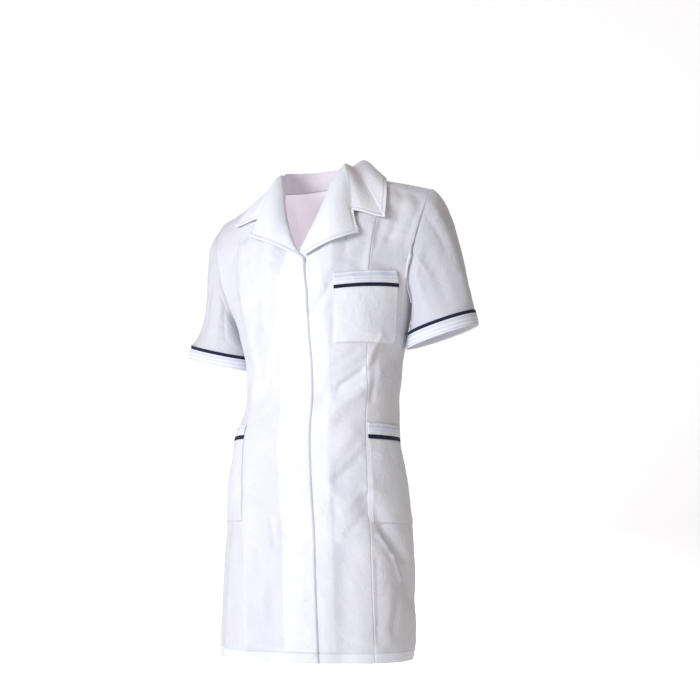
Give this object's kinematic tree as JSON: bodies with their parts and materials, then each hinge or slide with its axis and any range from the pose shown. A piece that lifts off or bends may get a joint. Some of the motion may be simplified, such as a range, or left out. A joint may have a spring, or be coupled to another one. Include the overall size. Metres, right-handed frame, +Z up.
{
  "type": "work smock",
  "caption": "Short-sleeved white work smock dress with a notched collar, concealed front fastening and banded patch pockets, in its worn hollow form.",
  "frame": {"origin": "between the shoulders at the height of the side neck, where the wearer carries the garment", "axes": "+Z up the body, -Y out of the front, +X to the wearer's left"},
  "size_m": [0.5819, 0.2906, 0.9512],
  "materials": {
    "white_cloth": "plain-weave polyester and cotton, pressed",
    "striped_band": "white band with fine grey-blue stripes",
    "navy_braid": "flat woven braid"
  },
  "bodies": {
    "root": {"back": "white_cloth", "chest_pocket": "white_cloth", "chest_pocket_band": "striped_band", "chest_pocket_braid": "navy_braid", "collar": "white_cloth", "cuff_braid_left": "navy_braid", "cuff_braid_right": "navy_braid", "cuff_left": "striped_band", "cuff_right": "striped_band", "front_left": "white_cloth", "front_right": "white_cloth", "hip_pocket_band_left": "striped_band", "hip_pocket_band_right": "striped_band", "hip_pocket_braid_left": "navy_braid", "hip_pocket_braid_right": "navy_braid", "hip_pocket_left": "white_cloth", "hip_pocket_right": "white_cloth", "lapel_left": "white_cloth", "lapel_right": "white_cloth", "side_back_left": "white_cloth", "side_back_right": "white_cloth", "side_front_left": "white_cloth", "side_front_right": "white_cloth", "sleeve_left": "white_cloth", "sleeve_right": "white_cloth"}
  },
  "joints": []
}
